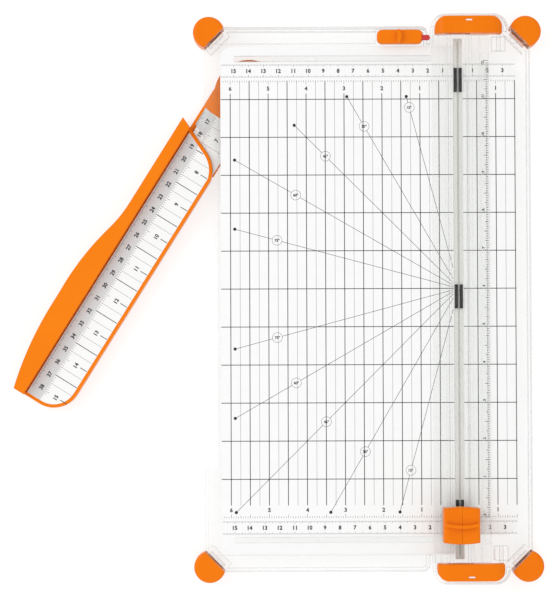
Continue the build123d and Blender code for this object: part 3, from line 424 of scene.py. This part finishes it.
def figure_mesh(text):
    """Mesh of a number one unit tall, centred on the origin, from z 0 to 1."""
    if text not in GLYPHS:
        curve = bpy.data.curves.new("figure", "FONT")
        curve.body = text
        curve.align_x = "CENTER"
        curve.resolution_u = 3
        curve.offset = FIGURE_WEIGHT
        curve.extrude = 0.5
        holder = bpy.data.objects.new("figure", curve)
        mesh = bpy.data.meshes.new_from_object(holder)
        bpy.data.objects.remove(holder)
        low = Vector([min(v.co[i] for v in mesh.vertices) for i in range(3)])
        high = Vector([max(v.co[i] for v in mesh.vertices) for i in range(3)])
        tall = high.y - low.y
        shift = Matrix.Translation((-(low.x + high.x) / 2, -(low.y + high.y) / 2, 0.5))
        mesh.transform(Matrix.Diagonal((1 / tall, 1 / tall, 1, 1)) @ shift)
        GLYPHS[text] = mesh
    return GLYPHS[text]


def graded(count, grades):
    """A tick's size: that of the first grade whose step divides the tick's count."""
    return next(size for step, size in grades if count % step == 0)


# ---- the deck's print --------------------------------------------------------------------------


def on_sheet(x):
    """True where the deck is printed, clear of the cut line and the sheets' edges."""
    on_left = left_low.x + SHEET_MARGIN < x < left_high.x - SHEET_MARGIN
    on_right = right_low.x + SHEET_MARGIN < x < right_high.x - OUTER_MARGIN
    return on_left or on_right


def print_grid(black, grey):
    """Lines every quarter inch along the cut, light between the half inches, and every inch across it."""
    for quarter in range(-24, 7):
        x = quarter * INCH / 4
        if not on_sheet(x):
            continue
        if quarter % 2:
            grey.line((x, GRID_FRONT), (x, GRID_REAR), LIGHT_LINE)
        else:
            rear = NUMBERED_LINE_REAR if quarter % 4 == 0 else GRID_REAR
            black.line((x, GRID_FRONT), (x, rear), HEAVY_LINE)
    for inch in range(1, 12):
        y = ZERO_Y + inch * INCH
        black.line((left_low.x + GRID_MARGIN, y), (left_high.x, y), HEAVY_LINE)
        black.line((right_low.x, y), (right_high.x - OUTER_MARGIN, y), HEAVY_LINE)


def print_rows(black, side):
    """Centimetre and inch rulers across the sheets, at the rear for side 1 and at the front for -1."""
    for millimetre in range(-159, 39):
        x = millimetre * MM
        if on_sheet(x):
            length = graded(millimetre, CM_TICKS)
            outer, inner = side * CM_TICKS_OUTER, side * CM_TICKS_INNER
            black.line((x, outer), (x, outer - side * length), TICK_LINE)
            black.line((x, inner), (x, inner + side * length), TICK_LINE)
    for sixteenth in range(-100, 25):
        x = sixteenth * INCH / 16
        if on_sheet(x):
            length = graded(sixteenth, INCH_TICKS)
            start = side * INCH_TICKS_START
            black.line((x, start), (x, start - side * length), TICK_LINE)
    for n in (*range(1, 16), -1, -2, -3):
        black.figure(str(abs(n)), (-n * CM, side * CM_FIGURES), FIGURE)
    for n in (-6, -5, -4, -3, -2, -1, 1):
        black.figure(str(abs(n)), (n * INCH, side * INCH_FIGURES), FIGURE)


def angle_reach(along, degrees, side):
    """How far an angle line runs from the hub to the first edge of the printed field."""
    reach = ANGLES_LEFT / along.x
    if side < 0:
        return min(reach, (ANGLES_FRONT - HUB_Y) / along.y)
    if degrees == 45:
        return REAR_45_LENGTH
    return min(reach, (ANGLES_REAR - HUB_Y) / along.y)


def print_angles(black):
    """Angle lines from the cut line to their dots, each broken by a ring round its number."""
    hub = Vector((0, HUB_Y))
    for degrees in ANGLES:
        for side in (1, -1):
            slope = math.radians(degrees)
            along = Vector((-math.sin(slope), side * math.cos(slope)))
            start = (left_high.x - SHEET_MARGIN) / along.x
            dot = hub + along * angle_reach(along, degrees, side)
            ring = hub + along * RING_DISTANCE
            black.line(hub + along * start, hub + along * (RING_DISTANCE - RING_RADIUS), LIGHT_LINE)
            black.line(hub + along * (RING_DISTANCE + RING_RADIUS), dot, LIGHT_LINE)
            black.disc(dot, DOT_RADIUS)
            black.ring(ring, RING_RADIUS, RING_LINE)
            black.figure(f"{degrees}°", ring, SMALL_FIGURE)


def print_deck():
    """Grid, rulers and angle lines on the two deck sheets."""
    plane = Matrix.Translation((0, 0, PANEL_TOP))
    black, grey = Print(plane), Print(plane)
    print_grid(black, grey)
    for side in (1, -1):
        print_rows(black, side)
    print_angles(black)
    black.finish("deck_print_black", INK_BLACK, "base")
    grey.finish("deck_print_grey", INK_GREY, "base")


# ---- the rail's print --------------------------------------------------------------------------
RAIL_INCHES = 12
RAIL_FIGURE_X = 1.1 * MM             # from the ruler's left edge to its numbers
RAIL_FIGURE_STEP = 1.6 * MM          # from an inch tick to its number, along the rail
RULER_MARGIN = 0.3 * MM
RAIL_TICKS = ((16, 0.75), (8, 0.6), (4, 0.45), (1, 0.28))    # lengths as shares of the ruler's width
FACE_SHARE = 0.83                    # the ruler's face is this much of its box's diagonal slope


def print_rail():
    """Inch ruler along the rail's right edge."""
    width = ruler_high.x - ruler_low.x
    tilt = math.atan2(ruler_high.z - ruler_low.z, width) * FACE_SHARE
    edge = Matrix.Translation((ruler_low.x, 0, ruler_high.z))
    black = Print(edge @ Matrix.Rotation(tilt, 4, "Y"))
    tick_end = width - RULER_MARGIN
    for sixteenth in range(RAIL_INCHES * 16 + 1):
        y = ZERO_Y + sixteenth * INCH / 16
        length = graded(sixteenth, RAIL_TICKS) * width
        black.line((tick_end - length, y), (tick_end, y), RAIL_TICK_LINE)
    for n in range(RAIL_INCHES + 1):
        beside = RAIL_FIGURE_STEP if n < RAIL_INCHES else -RAIL_FIGURE_STEP
        centre = (RAIL_FIGURE_X, ZERO_Y + n * INCH + beside)
        black.figure(str(n), centre, RAIL_FIGURE, math.pi / 2)
    black.finish("rail_ruler_print", INK_BLACK, "rail", "printed_clear")


# ---- the ruler arm's print ---------------------------------------------------------------------


def arm_plane(height):
    """The ruler arm's own axes at rest: X from the pivot to the tip, Y across it, away from the handle.

    The arm is square with the cut line, pointing left, at its joint's lower limit.
    """
    tip = math.radians(180 - joints["arm_swing"]["range_deg"][0])
    return Matrix.Translation((PIVOT.x, PIVOT.y, height)) @ Matrix.Rotation(tip, 4, "Z")


def inch_limit(place, stepped):
    """How far across the arm its inch scale may reach, which the curved step of the main label limits."""
    if not stepped:
        return ARM_INCH_EDGE
    radius = STEP_RADIUS - STEP_BORDER
    away = STEP_CENTRE[0] - place
    if away <= 0:
        return ARM_INCH_EDGE
    if away >= radius:
        return STEP_CENTRE[1]
    return min(ARM_INCH_EDGE, STEP_CENTRE[1] + math.sqrt(radius ** 2 - away ** 2))


def print_arm_scale(name, height, first, last, zone_corners, stepped):
    """Centimetre and inch scales on one of the arm's labels, from first to last along the arm.

    They measure from the cut line when the arm is square with it.
    """
    from_cut = -PIVOT.x
    black, grey, zone = (Print(arm_plane(height)) for _ in range(3))
    numbered = (first + ARM_FIGURE_MARGIN, last - ARM_FIGURE_MARGIN)
    zone.prism(zone_corners, INK_THICKNESS / 2)
    for millimetre in range(int((first + from_cut) * 1000), int((last + from_cut) * 1000)):
        s = millimetre * MM - from_cut
        length = graded(millimetre, ARM_CM_TICKS)
        black.line((s, ARM_CM_EDGE), (s, ARM_CM_EDGE + length), TICK_LINE)
        if millimetre % 10 == 0 and numbered[0] < s < numbered[1]:
            black.figure(str(millimetre // 10), (s, ARM_CM_FIGURES), FIGURE, math.pi)
    sixteenths = range(int((first + from_cut) / INCH * 16) + 1, int((last + from_cut) / INCH * 16))
    for sixteenth in sixteenths:
        s = sixteenth * INCH / 16 - from_cut
        far = inch_limit(s, stepped)
        if far < ARM_CM_BASE + ARM_LEAST_REACH:
            continue
        length = graded(sixteenth, ARM_INCH_TICKS)
        start = ARM_CM_BASE + ARM_TICK_GAP
        black.line((s, start), (s, start + length), TICK_LINE)
        if sixteenth % 8 == 0:
            line_start = ARM_NUMBERED_LINE if sixteenth % 16 == 0 else ARM_CM_BASE
            black.line((s, line_start), (s, far), ARM_HEAVY_LINE)
        elif sixteenth % 4 == 0:
            grey.line((s, ARM_CM_BASE + ARM_LIGHT_GAP), (s, far), LIGHT_LINE)
        if sixteenth % 16 == 0 and numbered[0] < s < numbered[1]:
            black.figure(str(sixteenth // 16), (s, ARM_INCH_FIGURES), FIGURE, math.pi)
    black.finish(name + "_print", INK_BLACK, "arm")
    grey.finish(name + "_light_print", INK_GREY, "arm")
    zone.finish(name + "_zone_print", INK_ZONE, "arm")


def print_arm():
    """The scales of the arm's main label and of the lower label near its pivot."""
    main_zone = [(43.6 * MM, ARM_ZONE_EDGE), (248.0 * MM, ARM_ZONE_EDGE),
                 (248.0 * MM, ARM_CM_BASE), (47.9 * MM, ARM_CM_BASE)]
    inner_zone = [(23.0 * MM, ARM_ZONE_EDGE), (36.0 * MM, ARM_ZONE_EDGE),
                  (41.0 * MM, ARM_CM_BASE), (25.0 * MM, ARM_CM_BASE)]
    print_arm_scale("arm_scale", ARM_LABEL_TOP, 46.2 * MM, 244.5 * MM, main_zone, stepped=True)
    print_arm_scale("arm_inner_scale", INNER_LABEL_TOP, 27.0 * MM, 52.0 * MM, inner_zone, stepped=False)


print_deck()
print_rail()
print_arm()

# ---- return springs ----------------------------------------------------------------------------
SPRING_WIRE = 0.25 * MM              # the wire's radius
SPRING_CLEARANCE = 0.96              # the drawn wire is this much of the real one
SPRING_TURNS = 4
STEPS_PER_TURN = 24


def press_spring(node):
    """A coil in place of a return spring's solid, riding on the carriage."""
    low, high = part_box(node)
    radius = (high.x - low.x) / 2 - SPRING_WIRE
    middle = (low + high) / 2
    steps = SPRING_TURNS * STEPS_PER_TURN
    rise = (high.z - low.z - 2 * SPRING_WIRE) / steps
    curve = bpy.data.curves.new(node + "_coil", "CURVE")
    curve.dimensions = "3D"
    curve.bevel_depth = SPRING_WIRE * SPRING_CLEARANCE
    curve.bevel_resolution = 3
    curve.use_fill_caps = True
    spline = curve.splines.new("POLY")
    spline.points.add(steps)
    for i, point in enumerate(spline.points):
        angle = 2 * math.pi * i / STEPS_PER_TURN
        point.co = (middle.x + radius * math.cos(angle), middle.y + radius * math.sin(angle),
                    low.z + SPRING_WIRE + i * rise, 1)
    holder = bpy.data.objects.new(node + "_coil", curve)
    data = bpy.data.meshes.new_from_object(holder)
    bpy.data.objects.remove(holder)
    data.materials.append(MATERIALS["steel"])
    coil = bpy.data.objects.new(node + "_coil", data)
    bpy.context.scene.collection.objects.link(coil)
    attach(coil, "carriage")
    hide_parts(node)
    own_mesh(coil)


press_spring("press_spring_left")
press_spring("press_spring_right")

# ---- floor, light and camera -------------------------------------------------------------------
FLOOR_HALF = 4.0
FLOOR_SHADE = 0.32
FLOOR_GLOW = 0.68                    # the pale floor gives off a little light, like a light table


def plain_floor():
    """A plain pale floor."""
    mesh = bpy.data.meshes.new("floor")
    corners = [(x * FLOOR_HALF, y * FLOOR_HALF, 0) for x, y in ((-1, -1), (1, -1), (1, 1), (-1, 1))]
    mesh.from_pydata(corners, [], [(0, 1, 2, 3)])
    floor = bpy.data.objects.new("floor", mesh)
    material, _, shader, _ = new_material("floor")
    shader.inputs["Base Color"].default_value = (FLOOR_SHADE, FLOOR_SHADE, FLOOR_SHADE, 1)
    shader.inputs["Roughness"].default_value = 0.9
    shader.inputs["Emission Color"].default_value = (1, 1, 1, 1)
    shader.inputs["Emission Strength"].default_value = FLOOR_GLOW
    mesh.materials.append(material)
    bpy.context.scene.collection.objects.link(floor)


SURROUND_STRENGTH = 1.02
LIGHT_TARGET = Vector((-0.08, 0, 0.02))


def soft_light(name, place, size, power):
    """A square soft box aimed at the object."""
    lamp = bpy.data.lights.new(name, "AREA")
    lamp.size = size
    lamp.energy = power
    holder = bpy.data.objects.new(name, lamp)
    holder.location = place
    holder.rotation_euler = (LIGHT_TARGET - Vector(place)).to_track_quat("-Z", "Y").to_euler()
    bpy.context.scene.collection.objects.link(holder)


def studio():
    """An even white surround with two soft boxes."""
    world = bpy.data.worlds.new("studio")
    world.use_nodes = True
    background = world.node_tree.nodes["Background"]
    background.inputs["Color"].default_value = (1, 1, 1, 1)
    background.inputs["Strength"].default_value = SURROUND_STRENGTH
    bpy.context.scene.world = world
    soft_light("soft_box_left", (-1.3, 0.5, 1.1), size=1.0, power=8.0)
    soft_light("soft_box_front", (0.5, -1.2, 1.4), size=1.2, power=5.0)
    bpy.context.scene.view_settings.view_transform = "Standard"
    bpy.context.scene.cycles.transparent_max_bounces = 24


LENS = 150
SENSOR = 36
VIEW_SPAN = 0.401                    # height of the view at the deck
VIEW_LEAN = math.radians(1.6)        # towards the front, from straight above
VIEW_ROLL = -math.radians(0.2)
VIEW_TARGET = Vector((-0.1200, -0.0008, PANEL_TOP))


def photo_camera():
    """Long lens from straight above, leaning very slightly towards the front."""
    lens = bpy.data.cameras.new("camera")
    lens.lens = LENS
    lens.sensor_width = SENSOR
    distance = VIEW_SPAN * LENS / SENSOR
    back = Vector((0, -math.sin(VIEW_LEAN), math.cos(VIEW_LEAN)))
    holder = bpy.data.objects.new("camera", lens)
    holder.location = VIEW_TARGET + back * distance
    holder.rotation_euler = (VIEW_LEAN, 0, VIEW_ROLL)
    bpy.context.scene.collection.objects.link(holder)
    bpy.context.scene.camera = holder


plain_floor()
studio()
photo_camera()
